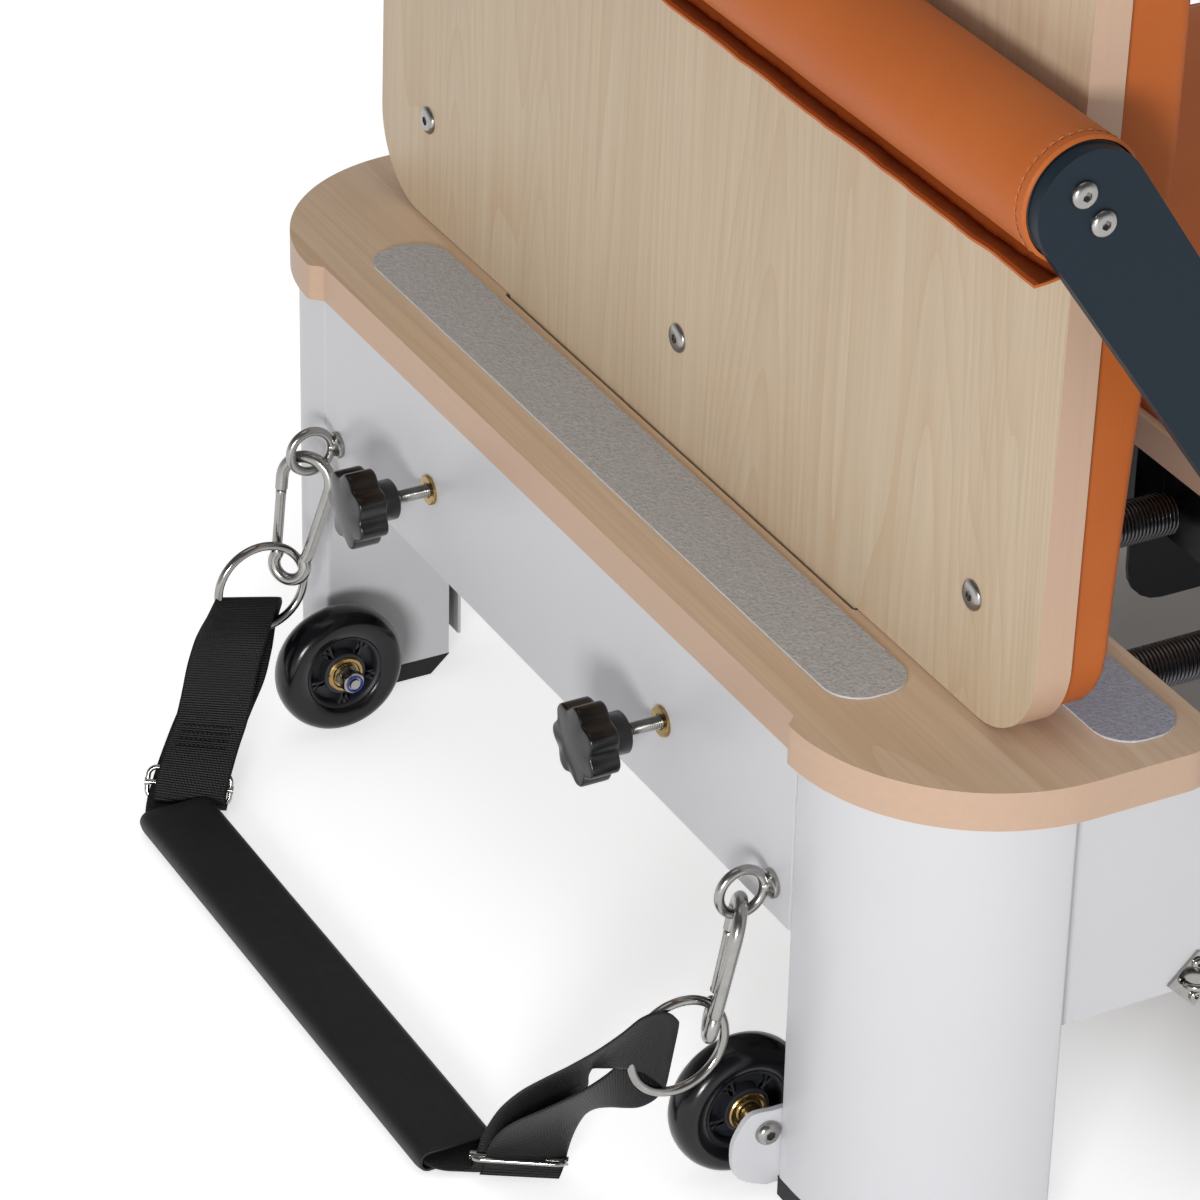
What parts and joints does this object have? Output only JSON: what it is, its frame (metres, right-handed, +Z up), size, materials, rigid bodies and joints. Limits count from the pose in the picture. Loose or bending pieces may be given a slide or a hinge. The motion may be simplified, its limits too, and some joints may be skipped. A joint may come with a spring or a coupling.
{
  "type": "folding pilates reformer",
  "caption": "Folding pilates reformer with sprung carriage, jump board, foot bar, foot strap and transport wheels.",
  "frame": {"origin": "middle of the footprint on the floor", "axes": "+X from the foot end to the head end, +Y to the left seen from the foot end, +Z up"},
  "size_m": [2.52, 0.8506, 0.745],
  "materials": {
    "white_paint": "satin powder coat",
    "black_paint": "satin powder coat",
    "slate_paint": "satin powder coat",
    "beech": "clear satin lacquer",
    "maple": "clear satin lacquer",
    "grip": "fine matt grit",
    "orange_leather": "smooth synthetic leather",
    "steel": "bright zinc plate",
    "spring_steel": "dark oiled wire",
    "black_plastic": "fine matt",
    "black_rubber": "smooth",
    "webbing": "ribbed weave"
  },
  "bodies": {
    "foot_frame": {"platform_board": "beech", "grip_strip_front": "grip", "grip_strip_rear": "grip", "foot_end_beam": "white_paint", "foot_leg_left": "white_paint", "foot_leg_right": "white_paint", "foot_shoe_left": "black_rubber", "foot_shoe_right": "black_rubber", "foot_rail_left": "white_paint", "foot_rail_right": "white_paint", "wheel_bracket_left": "white_paint", "wheel_bracket_right": "white_paint", "eye_bolt_left": "steel", "eye_bolt_right": "steel", "spring_bar": "black_paint", "middle_leg_frame": "white_paint", "hinge_pin_left": "steel", "hinge_pin_right": "steel", "spring_1": "spring_steel", "spring_2": "spring_steel", "spring_3": "spring_steel", "spring_4": "spring_steel"},
    "head_frame": {"head_rail_left": "white_paint", "head_rail_right": "white_paint", "head_leg_left": "white_paint", "head_leg_right": "white_paint", "head_end_beam": "white_paint"},
    "carriage": {"carriage_board": "beech", "carriage_pad": "orange_leather", "carriage_chassis": "black_paint"},
    "headrest": {"headrest": "orange_leather"},
    "jump_board": {"jump_board_panel": "maple", "jump_board_pad": "orange_leather"},
    "foot_bar": {"foot_bar_tube": "slate_paint", "foot_bar_sleeve": "orange_leather", "foot_bar_arm_left": "slate_paint", "foot_bar_arm_right": "slate_paint"},
    "foot_strap": {"carabiner_left": "steel", "carabiner_right": "steel", "strap_ring_left": "steel", "strap_ring_right": "steel", "strap_webbing_left": "webbing", "strap_webbing_right": "webbing", "strap_buckle_left": "steel", "strap_buckle_right": "steel", "strap_handle": "black_rubber"},
    "transport_wheel_left": {"transport_wheel_left": "black_rubber"},
    "clamp_knob_left": {"clamp_knob_left": "black_plastic"},
    "carabiner_gate_left": {"carabiner_gate_left": "steel"},
    "shoulder_rest_left": {"shoulder_rest_left": "orange_leather"},
    "roller_front_left": {"roller_front_left": "black_rubber"},
    "roller_rear_left": {"roller_rear_left": "black_rubber"},
    "pulley_left": {"pulley_left": "black_plastic"},
    "transport_wheel_right": {"transport_wheel_right": "black_rubber"},
    "clamp_knob_right": {"clamp_knob_right": "black_plastic"},
    "carabiner_gate_right": {"carabiner_gate_right": "steel"},
    "shoulder_rest_right": {"shoulder_rest_right": "orange_leather"},
    "roller_front_right": {"roller_front_right": "black_rubber"},
    "roller_rear_right": {"roller_rear_right": "black_rubber"},
    "pulley_right": {"pulley_right": "black_plastic"}
  },
  "joints": [
    {"name": "head_frame_fold", "type": "hinge", "parent": "foot_frame", "child": "head_frame", "pos_m": [0.08, 0, 0.3], "axis": [0, -1, 0], "range_deg": [0, 130]},
    {"name": "carriage_slide", "type": "slide", "parent": "foot_frame", "child": "carriage", "axis": [1, 0, 0], "range_m": [0, 0.85], "stiffness_N_per_m": 150, "deforming": ["spring_1", "spring_2", "spring_3", "spring_4"]},
    {"name": "jump_board_lift", "type": "slide", "parent": "foot_frame", "child": "jump_board", "axis": [0.0148, 0, 0.9999], "range_m": [0, 0.06]},
    {"name": "foot_bar_tilt", "type": "hinge", "parent": "foot_frame", "child": "foot_bar", "pos_m": [-0.751, 0, 0.2], "axis": [0, -1, 0], "range_deg": [0, 50]},
    {"name": "strap_swing", "type": "hinge", "parent": "foot_frame", "child": "foot_strap", "pos_m": [-1.117, 0, 0.1857], "axis": [0, 1, 0], "range_deg": [0, 45]},
    {"name": "headrest_tilt", "type": "hinge", "parent": "carriage", "child": "headrest", "pos_m": [-0.196, 0, 0.2923], "axis": [0, -1, 0], "range_deg": [0, 30]},
    {"name": "transport_wheel_spin_left", "type": "hinge", "parent": "foot_frame", "child": "transport_wheel_left", "pos_m": [-1.1061, 0.2434, 0.0428], "axis": [0, 1, 0], "continuous": true},
    {"name": "clamp_knob_turn_left", "type": "hinge", "parent": "foot_frame", "child": "clamp_knob_left", "pos_m": [-1.1, 0.137, 0.216], "axis": [1, 0, 0], "continuous": true},
    {"name": "carabiner_gate_swing_left", "type": "hinge", "parent": "foot_strap", "child": "carabiner_gate_left", "pos_m": [-1.13649, 0.26289, 0.12109], "axis": [0.7111, 0.6867, -0.1511], "range_deg": [0, 20], "stiffness_Nm_per_rad": 0.3, "springref_deg": -5.73},
    {"name": "shoulder_rest_lift_left", "type": "slide", "parent": "carriage", "child": "shoulder_rest_left", "axis": [0, 0, 1], "range_m": [0, 0.05]},
    {"name": "pulley_spin_left", "type": "hinge", "parent": "head_frame", "child": "pulley_left", "pos_m": [1.232, 0.1377, 0.3477], "axis": [0, 1, 0], "continuous": true},
    {"name": "roller_front_left_roll", "type": "hinge", "parent": "carriage", "child": "roller_front_left", "pos_m": [-0.67, 0.355, 0.218], "axis": [0, 1, 0], "continuous": true},
    {"name": "roller_rear_left_roll", "type": "hinge", "parent": "carriage", "child": "roller_rear_left", "pos_m": [-0.048, 0.355, 0.218], "axis": [0, 1, 0], "continuous": true},
    {"name": "transport_wheel_spin_right", "type": "hinge", "parent": "foot_frame", "child": "transport_wheel_right", "pos_m": [-1.1061, -0.2434, 0.0428], "axis": [0, 1, 0], "continuous": true},
    {"name": "clamp_knob_turn_right", "type": "hinge", "parent": "foot_frame", "child": "clamp_knob_right", "pos_m": [-1.1, -0.137, 0.216], "axis": [1, 0, 0], "continuous": true},
    {"name": "carabiner_gate_swing_right", "type": "hinge", "parent": "foot_strap", "child": "carabiner_gate_right", "pos_m": [-1.12571, -0.24767, 0.11729], "axis": [0.8599, -0.4766, -0.1828], "range_deg": [0, 20], "stiffness_Nm_per_rad": 0.3, "springref_deg": -5.73},
    {"name": "shoulder_rest_lift_right", "type": "slide", "parent": "carriage", "child": "shoulder_rest_right", "axis": [0, 0, 1], "range_m": [0, 0.05]},
    {"name": "pulley_spin_right", "type": "hinge", "parent": "head_frame", "child": "pulley_right", "pos_m": [1.232, -0.1377, 0.3477], "axis": [0, 1, 0], "continuous": true},
    {"name": "roller_front_right_roll", "type": "hinge", "parent": "carriage", "child": "roller_front_right", "pos_m": [-0.67, -0.355, 0.218], "axis": [0, 1, 0], "continuous": true},
    {"name": "roller_rear_right_roll", "type": "hinge", "parent": "carriage", "child": "roller_rear_right", "pos_m": [-0.048, -0.355, 0.218], "axis": [0, 1, 0], "continuous": true}
  ],
  "couplings": [
    {"joint": "roller_front_left_roll", "follows": "carriage_slide", "rad_per_m": 55.556},
    {"joint": "roller_rear_left_roll", "follows": "carriage_slide", "rad_per_m": 55.556},
    {"joint": "roller_front_right_roll", "follows": "carriage_slide", "rad_per_m": 55.556},
    {"joint": "roller_rear_right_roll", "follows": "carriage_slide", "rad_per_m": 55.556}
  ]
}
